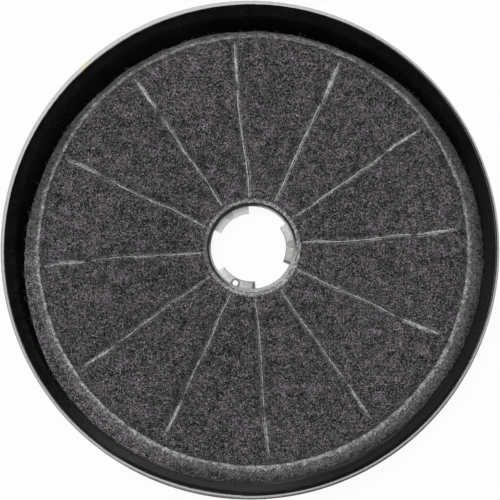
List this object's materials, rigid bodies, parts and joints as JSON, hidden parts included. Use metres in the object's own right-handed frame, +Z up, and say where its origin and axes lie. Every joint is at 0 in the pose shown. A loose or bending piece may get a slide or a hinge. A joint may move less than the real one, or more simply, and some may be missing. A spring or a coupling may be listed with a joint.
{
  "type": "cooker hood carbon filter",
  "caption": "Round black cassette with a slotted floor, a drafted wall, a felt cover sealed down in wedges over carbon pellets, and a central bayonet bore with lugs.",
  "frame": {"origin": "on the hub's axis, in the plane of the flat ring that the tray lies on", "axes": "+Z up along the hub's axis, out of the felt side; +X to the right of the picture and +Y to its top"},
  "size_m": [0.233, 0.233, 0.03],
  "materials": {
    "black_plastic": "glossy moulded, scuffed pale on the rim and the lugs",
    "carbon_pellets": "matt extruded pellets",
    "grey_felt": "needled felt with pale pressed seams"
  },
  "bodies": {
    "root": {"cassette_tray": "black_plastic", "felt_cover": "grey_felt", "carbon_charge_01": "carbon_pellets", "carbon_charge_02": "carbon_pellets", "carbon_charge_03": "carbon_pellets", "carbon_charge_04": "carbon_pellets", "carbon_charge_05": "carbon_pellets", "carbon_charge_06": "carbon_pellets", "carbon_charge_07": "carbon_pellets", "carbon_charge_08": "carbon_pellets", "carbon_charge_09": "carbon_pellets", "carbon_charge_10": "carbon_pellets", "carbon_charge_11": "carbon_pellets", "carbon_charge_12": "carbon_pellets"}
  },
  "joints": []
}
